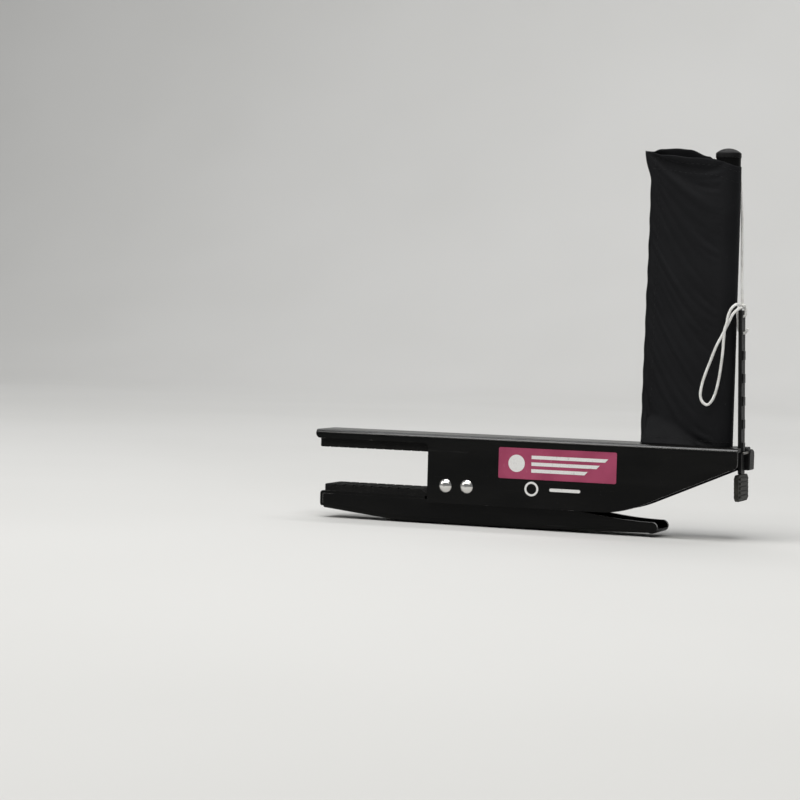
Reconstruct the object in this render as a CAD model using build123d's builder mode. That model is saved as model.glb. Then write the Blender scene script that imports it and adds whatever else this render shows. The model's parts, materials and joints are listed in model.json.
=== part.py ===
from build123d import *
import os
from math import asin, cos, radians, sin

# Table tennis net clamp: a sprung sheet-steel clamp that grips the table's edge and carries the net post.
# X runs outward from the table's edge, Y across the arm, Z up from the playing surface.
# The origin lies in the upper jaw's face, on the arm's middle plane. Millimetres.

# ---------------------------------------------------------------- driving dimensions

# Arm bracket: a channel folded from sheet, open side down
ARM_SHEET = 2.0
ARM_WIDTH = 26.0
ARM_BEND = 2.4
WEB_TOP = 9.0
JAW_END_X = -63.0
THROAT_X = -1.0
ARM_TIP_X = 158.4
LIP_Z = 4.5
CHEEK_Z = -25.4
ARM_TIP_Z = -0.4
TAPER_CORNER_X = 101.0
TAPER_RADIUS = 53.0
OUTLINE_CORNER = 2.5

WEB_UNDER = WEB_TOP - ARM_SHEET
CHANNEL_WIDTH = ARM_WIDTH - 2 * ARM_SHEET
ARM_LENGTH = ARM_TIP_X - JAW_END_X

# Table that the jaws close on at rest
TABLE_THICKNESS = 19.0

# Pivot and stop
PIVOT_X, PIVOT_Z = 8.7, -16.6
STOP_X, STOP_Z = 20.1, -16.5
RIVET_RADIUS = 2.0
RIVET_HEAD_RADIUS = 3.4
RIVET_HEAD_HEIGHT = 1.7
RUNNING_CLEARANCE = 0.05
SPACER_RADIUS = 3.0
PIVOT_WASHER_RADIUS = 4.6

# Lever: a channel folded from sheet, open side up. Its floor is level between the two knees.
LEVER_SHEET = 1.8
LEVER_WIDTH = 20.8
LEVER_BEND = 3.0
LEVER_JAW_X = -61.0
LEVER_WALL_X = LEVER_JAW_X + 1.5
LEVER_JAW_FLOOR_Z = -31.5
LEVER_INNER_KNEE_X = -16.0
LEVER_OUTER_KNEE_X = 52.0
LEVER_FLOOR_Z = -36.1
LEVER_NOSE_FOOT = (115.2, -34.5)
LEVER_NOSE = (118.9, -31.9)
LEVER_NOSE_TOP = (115.5, -29.1)
LEVER_BACK = ((99, -28.2), (79, -25.6), (58, -23.5))
EAR_RADIUS = 7.6
SHOULDER_X = 36.0
SHOULDER_Z = -22.9
SHOULDER_END_X = -0.3
LEVER_INNER_WIDTH = LEVER_WIDTH - 2 * LEVER_SHEET
PIVOT_WASHER_THICKNESS = (CHANNEL_WIDTH - LEVER_WIDTH) / 2 - RUNNING_CLEARANCE

# Jaw pads and the lower jaw's plate
UPPER_PAD_START, UPPER_PAD_END = -61.0, 3.0
UPPER_PAD_WIDTH = CHANNEL_WIDTH - 0.1
UPPER_GRIP_END = -1.5
UPPER_GROOVE_COUNT = 11
LOWER_PAD_START, LOWER_PAD_END = -59.0, -0.8
LOWER_PAD_THICKNESS = 3.5
LOWER_GROOVE_COUNT = 9
CHAMFER_START_X = -6.0
CHAMFER_END_Z = -21.8
PAD_GROOVE_PITCH = 5.0
PAD_GROOVE_WIDTH = 1.2
PAD_GROOVE_DEPTH = 0.8
PAD_EDGE = 0.6
PLATE_SHEET = 1.5
PLATE_CORNER = 2.0
PLATE_END_X = -3.0
PLATE_LIP_Z = -30.5
PLATE_TOP = -TABLE_THICKNESS - LOWER_PAD_THICKNESS
PLATE_UNDER = PLATE_TOP - PLATE_SHEET

# Torsion spring
WIRE_RADIUS = 1.0
COIL_RADIUS = 4.6
COIL_PITCH = 2.15
COIL_TURNS = 5
LEG_LEAN = 25.0
LEG_JOIN = 0.4
LEG_RADIUS = WIRE_RADIUS - 0.03

# Net post, 152.5 outside the side line to its outer face
POST_X = 146.2
POST_RADIUS = 6.0
POST_WALL = 1.0
POST_TOP = 149.0
POST_BORE_RADIUS = POST_RADIUS - POST_WALL
INSERT_HEIGHT = 18.0
SCREW_RADIUS = 3.0
SCREW_LENGTH = 20.0
SCREW_HEAD_ACROSS_FLATS = 9.8
SCREW_HEAD_HEIGHT = 4.0
SCREW_HEAD_CHAMFER = 0.6
SCREW_TIP_CHAMFER = 0.5
FLAT_WASHER_THICKNESS = 1.2
FLAT_WASHER_RADIUS = 5.8
SPRING_WASHER_THICKNESS = 1.4
SPRING_WASHER_RADIUS = 5.0
SPRING_WASHER_SPLIT = 0.8
SPLIT_LEAN = 20.0
WASHER_CLEARANCE = 0.2
CAP_RADIUS = 6.2
CAP_TOP = 153.6
CAP_STEM = 8.0
CAP_RIM_HEIGHT = 2.2
CAP_EDGE = 0.9

# Tension strap: it runs down outside the post and leans outward
STRAP_X = 157.2
STRAP_LEAN = 1.56
STRAP_WIDTH = 6.8
STRAP_THICKNESS = 1.7
STRAP_CORNER = 1.0
STRAP_TOP = 75.4
STRAP_FOOT = -4.0
TOOTH_COUNT = 5
TEETH_MIDDLE = 31.4
TOOTH_PITCH = 11.1
TOOTH_LENGTH = 4.8
TOOTH_WIDTH = 4.4
TOOTH_HEIGHT = 0.6
TOOTH_FLANK = 25.0
CORD_HOLE_RADIUS = 1.1
UPPER_HOLE_DROP, LOWER_HOLE_DROP = 3.2, 11.0
TAB_HEIGHT = 13.0
TAB_WIDTH = 20.0
TAB_THICKNESS = 2.2
TAB_CORNER = 3.0
TAB_EDGE = 0.5
TAB_RIB_COUNT = 5
TAB_RIB_WIDTH = 1.1
TAB_RIB_HEIGHT = 0.6
TAB_RIB_MARGIN = 2.5

# End plug: it floors the strap's open groove, and its head covers the rear half of the arm's tip
PLUG_INNER_X = 152.6
PLUG_OUTER_X = 160.4
PLUG_FOOT_Z = -2.2
PLUG_HEAD_TOP = 7.9
PLUG_HEAD_CORNER = 3.0
PLUG_HEAD_EDGE = 0.5
GROOVE_FLOOR_X = 155.9
GROOVE_SIDE_Y = 3.8
NOTCH_WIDTH = 13.0
PLUG_FIT = 0.05
PLUG_SIDE_Y = CHANNEL_WIDTH / 2 - PLUG_FIT
BOSS_SIDE_Y = NOTCH_WIDTH / 2 - PLUG_FIT
PIN_RADIUS = 0.6
PIN_X, PIN_Z = 159.2, 6.4
PIN_START_Y, PIN_END_Y = -4.8, 9.5
PIN_END_EDGE = 0.4

# Net sleeve and cord
SLEEVE_EDGE_X = 106.3
SLEEVE_EDGE_RADIUS = 1.2
SLEEVE_BORE_RADIUS = 6.15
SLEEVE_RADIUS = 6.6
SLEEVE_FOOT = WEB_TOP + 0.1
HEM_AT_EDGE = (SLEEVE_EDGE_X, 152.2)
HEM_DIP = (132.0, 150.0)
HEM_AT_POST = (140.0, 148.9)
HEM_END = (160.0, 144.6)
CORD_RADIUS = 0.75
KNOT_RADIUS = 1.9
CORD_CLEARANCE = 0.15
CORD_END_IN_KNOT = 1.3
KNOT_X, KNOT_Z = 155.3, 77.5
BOW_Y = -8.8
# Where the cord lies on the sleeve's outside: angle round the post from X towards Y, height
CORD_WRAP = (
    (135, 150.2),
    (112, 150.5),
    (92, 150.0),
    (76, 148.0),
    (66, 143.5),
    (57, 137.0),
    (47, 130.0),
    (37, 123.0),
    (28, 116.0),
)
# (X, distance in front of the bow's plane, Z) along the bow
BOW_POINTS = (
    (153.6, -4.2, 76.8),
    (151.2, -0.8, 71.5),
    (147.4, 0.0, 62.0),
    (141.0, 0.0, 44.0),
    (137.9, 0.0, 34.6),
    (140.9, 0.0, 30.0),
    (145.0, 0.0, 34.0),
    (147.6, 0.0, 50.0),
    (149.4, 0.0, 60.5),
)

# Printed label and mark on the front cheek
PRINT_THICKNESS = 0.15
LABEL_LEFT, LABEL_RIGHT = 37.0, 98.3
LABEL_TOP, LABEL_FOOT = 4.3, -11.1
MARK_LEFT, MARK_RIGHT = 51.0, 80.0
LABEL_CORNER = 0.8
MARK_TOP, MARK_FOOT = -12.2, -19.4
RING_RADIUS = (MARK_TOP - MARK_FOOT) / 2
RING_WIDTH = 1.0
BAR_LENGTH, BAR_WIDTH = 16.0, 1.6

# ---------------------------------------------------------------- arm bracket

with BuildPart() as arm_bracket:
    # Side outline: jaw lips, deep cheeks, then a taper to the outer tip
    with BuildSketch(Plane.XZ) as arm_outline:
        with BuildLine():
            Polyline(
                (JAW_END_X, WEB_TOP),
                (ARM_TIP_X, WEB_TOP),
                (ARM_TIP_X, ARM_TIP_Z),
                (TAPER_CORNER_X, CHEEK_Z),
                (THROAT_X, CHEEK_Z),
                (THROAT_X, LIP_Z),
                (JAW_END_X, LIP_Z),
                close=True,
            )
        make_face()
        taper_corner = arm_outline.vertices().sort_by_distance((TAPER_CORNER_X, 0, CHEEK_Z))[0]
        fillet(taper_corner, TAPER_RADIUS)
        throat_foot = arm_outline.vertices().sort_by_distance((THROAT_X, 0, CHEEK_Z))[0]
        throat_root = arm_outline.vertices().sort_by_distance((THROAT_X, 0, LIP_Z))[0]
        tip_foot = arm_outline.vertices().sort_by_distance((ARM_TIP_X, 0, ARM_TIP_Z))[0]
        lip_end = arm_outline.vertices().sort_by_distance((JAW_END_X, 0, LIP_Z))[0]
        fillet([throat_foot, throat_root, tip_foot, lip_end], OUTLINE_CORNER)
    extrude(amount=ARM_WIDTH / 2, both=True)
    long_top_edges = arm_bracket.edges().filter_by(Axis.X).group_by(Axis.Z)[-1]
    fillet(long_top_edges, ARM_BEND)
    # Hollow of the channel
    with BuildSketch(Plane.YZ) as arm_hollow:
        with Locations((0, WEB_UNDER)):
            Rectangle(CHANNEL_WIDTH, 2 * (WEB_UNDER - CHEEK_Z), align=(Align.CENTER, Align.MAX))
        fillet(arm_hollow.vertices().group_by(Axis.Z)[-1], ARM_BEND - ARM_SHEET)
    extrude(amount=ARM_LENGTH, both=True, mode=Mode.SUBTRACT)
    # Rivet holes through both cheeks
    with BuildSketch(Plane.XZ):
        with Locations((PIVOT_X, PIVOT_Z), (STOP_X, STOP_Z)):
            Circle(RIVET_RADIUS)
    extrude(amount=ARM_WIDTH, both=True, mode=Mode.SUBTRACT)
    # Post screw's hole, and the notch that lets the strap and the end plug through
    with BuildSketch(Plane.XY.offset(WEB_TOP)):
        with Locations((POST_X, 0)):
            Circle(SCREW_RADIUS + WASHER_CLEARANCE)
        with Locations((PLUG_INNER_X, 0)):
            Rectangle(PLUG_OUTER_X - PLUG_INNER_X, NOTCH_WIDTH, align=(Align.MIN, Align.CENTER))
    extrude(amount=-ARM_SHEET, mode=Mode.SUBTRACT)

# ---------------------------------------------------------------- jaw pads

with BuildPart() as upper_jaw_pad:
    with BuildSketch(Plane.XZ) as upper_pad_outline:
        with Locations((UPPER_PAD_START, 0)):
            Rectangle(UPPER_PAD_END - UPPER_PAD_START, WEB_UNDER, align=Align.MIN)
    extrude(amount=UPPER_PAD_WIDTH / 2, both=True)
    top_edges = upper_jaw_pad.edges().filter_by(Axis.X).group_by(Axis.Z)[-1]
    fillet(top_edges, ARM_BEND - ARM_SHEET)
    foot_edges = upper_jaw_pad.edges().group_by(Axis.Z)[0]
    fillet(foot_edges, PAD_EDGE)
    # Grip grooves across the face
    with BuildSketch(Plane.XZ):
        with Locations(((UPPER_PAD_START + UPPER_GRIP_END) / 2, 0)):
            with GridLocations(PAD_GROOVE_PITCH, 1, UPPER_GROOVE_COUNT, 1):
                Rectangle(PAD_GROOVE_WIDTH, 2 * PAD_GROOVE_DEPTH)
    extrude(amount=ARM_WIDTH, both=True, mode=Mode.SUBTRACT)

with BuildPart() as lower_jaw_pad:
    # The outer end slopes down, clear of the table's lower edge
    with BuildSketch(Plane.XZ):
        with BuildLine():
            Polyline(
                (LOWER_PAD_START, PLATE_TOP),
                (LOWER_PAD_END, PLATE_TOP),
                (LOWER_PAD_END, CHAMFER_END_Z),
                (CHAMFER_START_X, -TABLE_THICKNESS),
                (LOWER_PAD_START, -TABLE_THICKNESS),
                close=True,
            )
        make_face()
    extrude(amount=LEVER_WIDTH / 2, both=True)
    fillet(lower_jaw_pad.edges().filter_by(Axis.Z), PLATE_CORNER)
    fillet(lower_jaw_pad.edges().group_by(Axis.Z)[-1], PAD_EDGE)
    with BuildSketch(Plane.XZ):
        with Locations(((LOWER_PAD_START + CHAMFER_START_X) / 2, -TABLE_THICKNESS)):
            with GridLocations(PAD_GROOVE_PITCH, 1, LOWER_GROOVE_COUNT, 1):
                Rectangle(PAD_GROOVE_WIDTH, 2 * PAD_GROOVE_DEPTH)
    extrude(amount=ARM_WIDTH, both=True, mode=Mode.SUBTRACT)

# ---------------------------------------------------------------- lever


def lever_floor(x):
    """Height of the lever's outer floor at x. The slope past each knee runs on beyond the lever's end."""
    if x < LEVER_INNER_KNEE_X:
        rise = (LEVER_JAW_FLOOR_Z - LEVER_FLOOR_Z) / (LEVER_INNER_KNEE_X - LEVER_WALL_X)
        return LEVER_FLOOR_Z + rise * (LEVER_INNER_KNEE_X - x)
    if x > LEVER_OUTER_KNEE_X:
        rise = (LEVER_NOSE_FOOT[1] - LEVER_FLOOR_Z) / (LEVER_NOSE_FOOT[0] - LEVER_OUTER_KNEE_X)
        return LEVER_FLOOR_Z + rise * (x - LEVER_OUTER_KNEE_X)
    return LEVER_FLOOR_Z


HOLLOW_START_X, HOLLOW_END_X = LEVER_JAW_X - 10, LEVER_NOSE[0] + 10

with BuildPart() as clamp_lever:
    with BuildSketch(Plane.XZ) as lever_outline:
        with BuildLine():
            Polyline(
                (LEVER_WALL_X, PLATE_UNDER),
                (LEVER_WALL_X, LEVER_JAW_FLOOR_Z),
                (LEVER_INNER_KNEE_X, LEVER_FLOOR_Z),
                (LEVER_OUTER_KNEE_X, LEVER_FLOOR_Z),
                LEVER_NOSE_FOOT,
            )
            ThreePointArc(LEVER_NOSE_FOOT, LEVER_NOSE, LEVER_NOSE_TOP)
            Spline(
                LEVER_NOSE_TOP,
                *LEVER_BACK,
                (SHOULDER_X, SHOULDER_Z),
                tangents=((-1, 0.02), (-1, 0)),
            )
            Polyline(
                (SHOULDER_X, SHOULDER_Z),
                (SHOULDER_END_X, SHOULDER_Z),
                (SHOULDER_END_X, PLATE_UNDER),
                (LEVER_WALL_X, PLATE_UNDER),
            )
        make_face()
        with Locations((PIVOT_X, PIVOT_Z)):
            Circle(EAR_RADIUS)
    extrude(amount=LEVER_WIDTH / 2, both=True)
    # Folded lower corners: the long edges of the floor
    low_edges = clamp_lever.edges().filter_by_position(Axis.Z, LEVER_FLOOR_Z - 1, LEVER_JAW_FLOOR_Z - 1)
    long_edges = low_edges.filter_by(lambda e: abs(e.tangent_at(0.5).X) > 0.9 and abs(e.center().Y) > 1)
    fillet(long_edges, LEVER_BEND)
    # Hollow of the channel, open at the top and at both ends
    with BuildSketch(Plane.XZ):
        with BuildLine():
            Polyline(
                (HOLLOW_START_X, lever_floor(HOLLOW_START_X) + LEVER_SHEET),
                (LEVER_INNER_KNEE_X, LEVER_FLOOR_Z + LEVER_SHEET),
                (LEVER_OUTER_KNEE_X, LEVER_FLOOR_Z + LEVER_SHEET),
                (HOLLOW_END_X, lever_floor(HOLLOW_END_X) + LEVER_SHEET),
                (HOLLOW_END_X, WEB_TOP),
                (HOLLOW_START_X, WEB_TOP),
                close=True,
            )
        make_face()
    extrude(amount=LEVER_INNER_WIDTH / 2, both=True, mode=Mode.SUBTRACT)
    with BuildSketch(Plane.XZ):
        with Locations((PIVOT_X, PIVOT_Z)):
            Circle(RIVET_RADIUS + RUNNING_CLEARANCE)
    extrude(amount=ARM_WIDTH, both=True, mode=Mode.SUBTRACT)

with BuildPart() as lower_jaw_plate:
    # A plate on the lever's walls, with a lip turned down over the channel's end
    with BuildSketch(Plane.XZ) as plate_outline:
        with BuildLine():
            Polyline(
                (PLATE_END_X, PLATE_TOP),
                (LEVER_JAW_X, PLATE_TOP),
                (LEVER_JAW_X, PLATE_LIP_Z),
                (LEVER_JAW_X + PLATE_SHEET, PLATE_LIP_Z),
                (LEVER_JAW_X + PLATE_SHEET, PLATE_UNDER),
                (PLATE_END_X, PLATE_UNDER),
                close=True,
            )
        make_face()
        bend_corner = plate_outline.vertices().sort_by_distance((LEVER_JAW_X, 0, PLATE_TOP))[0]
        fillet(bend_corner, PLATE_SHEET)
    extrude(amount=LEVER_WIDTH / 2, both=True)
    lip_corners = lower_jaw_plate.edges().filter_by(Axis.X).group_by(Axis.Z)[0]
    fillet(lip_corners, PLATE_CORNER)

# ---------------------------------------------------------------- pivot, stop and spring

PIVOT_PLANE = Plane(origin=(PIVOT_X, 0, PIVOT_Z), x_dir=(1, 0, 0), z_dir=(0, -1, 0))
STOP_PLANE = Plane(origin=(STOP_X, 0, STOP_Z), x_dir=(1, 0, 0), z_dir=(0, -1, 0))


def dome_haunch(rim_radius, rise):
    """The middle point (radius, height above the rim) of a spherical dome's side arc."""
    sphere_radius = (rise**2 + rim_radius**2) / (2 * rise)
    half_angle = asin(rim_radius / sphere_radius) / 2
    return sphere_radius * sin(half_angle), rise - sphere_radius * (1 - cos(half_angle))


def make_rivet(x, z):
    """A rivet across both cheeks at (x, z), with a low dome at each end."""
    seat = ARM_WIDTH / 2
    crown = seat + RIVET_HEAD_HEIGHT
    shank_side = x + RIVET_RADIUS
    head_side = x + RIVET_HEAD_RADIUS
    haunch_radius, haunch_rise = dome_haunch(RIVET_HEAD_RADIUS, RIVET_HEAD_HEIGHT)
    haunch_x, haunch_y = x + haunch_radius, seat + haunch_rise
    with BuildPart() as rivet:
        # Half section along the rivet's axis
        with BuildSketch(Plane.XY.offset(z)):
            with BuildLine():
                Polyline((x, -crown), (x, crown))
                ThreePointArc((x, crown), (haunch_x, haunch_y), (head_side, seat))
                Polyline((head_side, seat), (shank_side, seat), (shank_side, -seat), (head_side, -seat))
                ThreePointArc((head_side, -seat), (haunch_x, -haunch_y), (x, -crown))
            make_face()
        revolve(axis=Axis((x, 0, z), (0, 1, 0)))
    return rivet


pivot_rivet = make_rivet(PIVOT_X, PIVOT_Z)
stop_rivet = make_rivet(STOP_X, STOP_Z)

with BuildPart() as stop_spacer:
    with BuildSketch(STOP_PLANE):
        Circle(SPACER_RADIUS)
        Circle(RIVET_RADIUS, mode=Mode.SUBTRACT)
    extrude(amount=CHANNEL_WIDTH / 2, both=True)

with BuildPart() as pivot_tube:
    with BuildSketch(PIVOT_PLANE):
        Circle(SPACER_RADIUS)
        Circle(RIVET_RADIUS, mode=Mode.SUBTRACT)
    extrude(amount=LEVER_INNER_WIDTH / 2 - RUNNING_CLEARANCE, both=True)

with BuildPart() as pivot_washers:
    # One thin washer each side, against the cheeks
    with BuildSketch(PIVOT_PLANE.offset(CHANNEL_WIDTH / 2 - PIVOT_WASHER_THICKNESS)):
        Circle(PIVOT_WASHER_RADIUS)
        Circle(RIVET_RADIUS, mode=Mode.SUBTRACT)
    extrude(amount=PIVOT_WASHER_THICKNESS)
    mirror(about=Plane.XZ)

# The spring's coil lies on the pivot's axis. Both legs leave it towards the outer end, one up and one down.
COIL_START_ANGLE = 270.0 - LEG_LEAN
COIL_HEIGHT = COIL_PITCH * (COIL_TURNS + (180.0 - 2 * LEG_LEAN) / 360.0)
LEG_RISE = COIL_RADIUS * cos(radians(LEG_LEAN)) + WIRE_RADIUS
UPPER_LEG = (WEB_UNDER - PIVOT_Z - LEG_RISE) / sin(radians(LEG_LEAN))
LOWER_LEG = (PIVOT_Z - LEVER_FLOOR_Z - LEVER_SHEET - LEG_RISE) / sin(radians(LEG_LEAN))

coil_plane = Plane(
    origin=(PIVOT_X, -COIL_HEIGHT / 2, PIVOT_Z),
    x_dir=(cos(radians(COIL_START_ANGLE)), 0, sin(radians(COIL_START_ANGLE))),
    z_dir=(0, 1, 0),
)
coil_line = coil_plane * Helix(pitch=COIL_PITCH, height=COIL_HEIGHT, radius=COIL_RADIUS)

with BuildPart() as torsion_spring:
    with BuildSketch(Plane(origin=coil_line @ 0, z_dir=coil_line % 0)):
        Circle(WIRE_RADIUS)
    sweep(path=coil_line)
    # Each leg starts a little way inside the coil's end, so that the two join
    legs = ((coil_line @ 1, UPPER_LEG, LEG_LEAN), (coil_line @ 0, LOWER_LEG, -LEG_LEAN))
    for leg_root, length, lean in legs:
        direction = Vector(cos(radians(lean)), 0, sin(radians(lean)))
        with BuildSketch(Plane(origin=leg_root - direction * LEG_JOIN, z_dir=direction)):
            Circle(LEG_RADIUS)
        extrude(amount=length + LEG_JOIN)

# ---------------------------------------------------------------- net post

POST_AXIS = Axis((POST_X, 0, 0), (0, 0, 1))


def post_plane(z):
    """The level plane at height z, with its origin on the post's axis."""
    return Plane(origin=(POST_X, 0, z))


with BuildPart() as net_post:
    with BuildSketch(post_plane(WEB_TOP)):
        Circle(POST_RADIUS)
        Circle(POST_BORE_RADIUS, mode=Mode.SUBTRACT)
    extrude(amount=POST_TOP - WEB_TOP)

with BuildPart() as post_insert:
    with BuildSketch(post_plane(WEB_TOP)):
        Circle(POST_BORE_RADIUS)
        Circle(SCREW_RADIUS, mode=Mode.SUBTRACT)
    extrude(amount=INSERT_HEIGHT)

FLAT_WASHER_FOOT = WEB_UNDER - FLAT_WASHER_THICKNESS
HEAD_SEAT = FLAT_WASHER_FOOT - SPRING_WASHER_THICKNESS

with BuildPart() as post_washer:
    with BuildSketch(post_plane(FLAT_WASHER_FOOT)):
        Circle(FLAT_WASHER_RADIUS)
        Circle(SCREW_RADIUS + WASHER_CLEARANCE, mode=Mode.SUBTRACT)
    extrude(amount=FLAT_WASHER_THICKNESS)

with BuildPart() as post_spring_washer:
    with BuildSketch(post_plane(HEAD_SEAT)):
        Circle(SPRING_WASHER_RADIUS)
        Circle(SCREW_RADIUS + WASHER_CLEARANCE, mode=Mode.SUBTRACT)
        # The split
        with Locations(((SPRING_WASHER_RADIUS + SCREW_RADIUS) / 2, 0)):
            Rectangle(SPRING_WASHER_RADIUS, SPRING_WASHER_SPLIT, rotation=SPLIT_LEAN, mode=Mode.SUBTRACT)
    extrude(amount=SPRING_WASHER_THICKNESS)

with BuildPart() as post_screw:
    with BuildSketch(post_plane(HEAD_SEAT - SCREW_HEAD_HEIGHT)):
        RegularPolygon(SCREW_HEAD_ACROSS_FLATS / 2, 6, major_radius=False)
    extrude(amount=SCREW_HEAD_HEIGHT)
    chamfer(post_screw.edges().group_by(Axis.Z)[0], SCREW_HEAD_CHAMFER)
    with BuildSketch(post_plane(HEAD_SEAT)):
        Circle(SCREW_RADIUS)
    extrude(amount=SCREW_LENGTH)
    chamfer(post_screw.edges().group_by(Axis.Z)[-1], SCREW_TIP_CHAMFER)

# ---------------------------------------------------------------- cord and cap

CORD_REACH = SLEEVE_RADIUS + CORD_RADIUS + CORD_CLEARANCE
KNOT_CENTRE = Vector(KNOT_X, 0, KNOT_Z)


def beside_post(angle, z):
    """A point at the cord's distance from the post's axis, at angle degrees from X towards Y."""
    return Vector(POST_X + CORD_REACH * cos(radians(angle)), CORD_REACH * sin(radians(angle)), z)


wrap_points = [beside_post(angle, z) for angle, z in CORD_WRAP]
cord_heading = (KNOT_CENTRE - wrap_points[-1]).normalized()

with BuildLine() as cord_line:
    # Out of the sleeve's mouth, round the back of the cap and down the sleeve, then straight to the knot
    Spline(*wrap_points, KNOT_CENTRE - cord_heading * CORD_END_IN_KNOT)

CAP_RIM_Z = POST_TOP + CAP_RIM_HEIGHT
cap_haunch = dome_haunch(CAP_RADIUS, CAP_TOP - CAP_RIM_Z)

with BuildPart() as post_cap:
    # Half section: stem in the tube, rim, low dome
    with BuildSketch(Plane.XZ.move(Location((POST_X, 0, 0)))):
        with BuildLine():
            Polyline(
                (0, CAP_TOP),
                (0, POST_TOP - CAP_STEM),
                (POST_BORE_RADIUS, POST_TOP - CAP_STEM),
                (POST_BORE_RADIUS, POST_TOP),
                (CAP_RADIUS, POST_TOP),
                (CAP_RADIUS, CAP_RIM_Z),
            )
            ThreePointArc((CAP_RADIUS, CAP_RIM_Z), (cap_haunch[0], CAP_RIM_Z + cap_haunch[1]), (0, CAP_TOP))
        make_face()
    revolve(axis=POST_AXIS)
    rim_edge = post_cap.edges().filter_by_position(Axis.Z, CAP_RIM_Z - 0.01, CAP_RIM_Z + 0.01)
    fillet(rim_edge, CAP_EDGE)

with BuildLine() as bow_line:
    Spline(KNOT_CENTRE - (0, CORD_END_IN_KNOT, 0), *[(x, BOW_Y - front, z) for x, front, z in BOW_POINTS])

with BuildPart() as tension_cord:
    # Knot above the strap, where the cord and its bow meet
    with Locations(KNOT_CENTRE):
        Sphere(KNOT_RADIUS, rotation=(0, 90, 0))
    with BuildSketch(Plane(origin=cord_line.line @ 0, z_dir=cord_line.line % 0)):
        Circle(CORD_RADIUS)
    sweep(path=cord_line.line)
    # Bow that hangs from the knot, in front of the sleeve
    with BuildSketch(Plane(origin=bow_line.line @ 0, z_dir=bow_line.line % 0)):
        Circle(CORD_RADIUS)
    sweep(path=bow_line.line)

# ---------------------------------------------------------------- net sleeve

with BuildPart() as net_sleeve:
    # Flattened fabric pocket: thin at its free edge, round the post at the other
    with BuildSketch(Plane.XY.offset(SLEEVE_FOOT)):
        with Locations((POST_X, 0)):
            Circle(SLEEVE_RADIUS)
        with Locations((SLEEVE_EDGE_X + SLEEVE_EDGE_RADIUS, 0)):
            Circle(SLEEVE_EDGE_RADIUS)
        make_hull()
        with Locations((POST_X, 0)):
            Circle(SLEEVE_BORE_RADIUS, mode=Mode.SUBTRACT)
    extrude(amount=CAP_TOP - SLEEVE_FOOT)
    # Sloping top hem
    with BuildSketch(Plane.XZ):
        with BuildLine():
            Polyline(
                (SLEEVE_EDGE_X - 1, CAP_TOP + 1),
                (SLEEVE_EDGE_X - 1, HEM_AT_EDGE[1]),
                HEM_AT_EDGE,
                HEM_DIP,
                HEM_AT_POST,
                HEM_END,
                (HEM_END[0], CAP_TOP + 1),
                close=True,
            )
        make_face()
    extrude(amount=ARM_WIDTH, both=True, mode=Mode.SUBTRACT)

# ---------------------------------------------------------------- strap, tab and end plug

# The strap's middle plane: its x runs along Y, its y up the strap, its z out of the strap's outer face
STRAP_OUTWARD = (cos(radians(STRAP_LEAN)), 0, sin(radians(STRAP_LEAN)))
STRAP_ACROSS = Plane(origin=(STRAP_X, 0, 0), x_dir=(0, 1, 0), z_dir=STRAP_OUTWARD)
STRAP_LENGTH = (STRAP_TOP - STRAP_FOOT) / cos(radians(STRAP_LEAN))

with BuildPart() as tension_strap:
    # Flat band; the sketch's y runs up the strap from the playing surface's level
    with BuildSketch(STRAP_ACROSS.offset(-STRAP_THICKNESS / 2)):
        with Locations((0, STRAP_FOOT)):
            RectangleRounded(STRAP_WIDTH, STRAP_LENGTH, STRAP_CORNER, align=(Align.CENTER, Align.MIN))
        with Locations((0, STRAP_TOP - UPPER_HOLE_DROP), (0, STRAP_TOP - LOWER_HOLE_DROP)):
            Circle(CORD_HOLE_RADIUS, mode=Mode.SUBTRACT)
    extrude(amount=STRAP_THICKNESS)
    # Teeth along the middle of the outer face, clear of the cord holes
    with BuildSketch(STRAP_ACROSS.offset(STRAP_THICKNESS / 2)):
        with Locations((0, TEETH_MIDDLE)):
            with GridLocations(1, TOOTH_PITCH, 1, TOOTH_COUNT):
                Rectangle(TOOTH_WIDTH, TOOTH_LENGTH)
    extrude(amount=TOOTH_HEIGHT, taper=TOOTH_FLANK)

with BuildPart() as strap_pull_tab:
    with BuildSketch(STRAP_ACROSS.offset(-TAB_THICKNESS / 2)):
        with Locations((0, STRAP_FOOT)):
            RectangleRounded(TAB_WIDTH, TAB_HEIGHT, TAB_CORNER, align=(Align.CENTER, Align.MAX))
    extrude(amount=TAB_THICKNESS)
    fillet(strap_pull_tab.edges().filter_by(GeomType.LINE), TAB_EDGE)
    # Grip ribs on both faces
    with BuildSketch(STRAP_ACROSS.offset(-TAB_THICKNESS / 2 - TAB_RIB_HEIGHT)):
        with Locations((0, STRAP_FOOT - TAB_HEIGHT / 2)):
            with GridLocations(1, TAB_HEIGHT / (TAB_RIB_COUNT + 1), 1, TAB_RIB_COUNT):
                SlotOverall(TAB_WIDTH - 2 * TAB_RIB_MARGIN, TAB_RIB_WIDTH)
    extrude(amount=TAB_THICKNESS + 2 * TAB_RIB_HEIGHT)


def plug_outline(side):
    """Outline of the plug's body or boss, which reach out to side: a block with the groove cut out."""
    return (
        (PLUG_INNER_X, -side),
        (GROOVE_FLOOR_X, -side),
        (GROOVE_FLOOR_X, GROOVE_SIDE_Y),
        (ARM_TIP_X, GROOVE_SIDE_Y),
        (ARM_TIP_X, side),
        (PLUG_INNER_X, side),
    )


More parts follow.
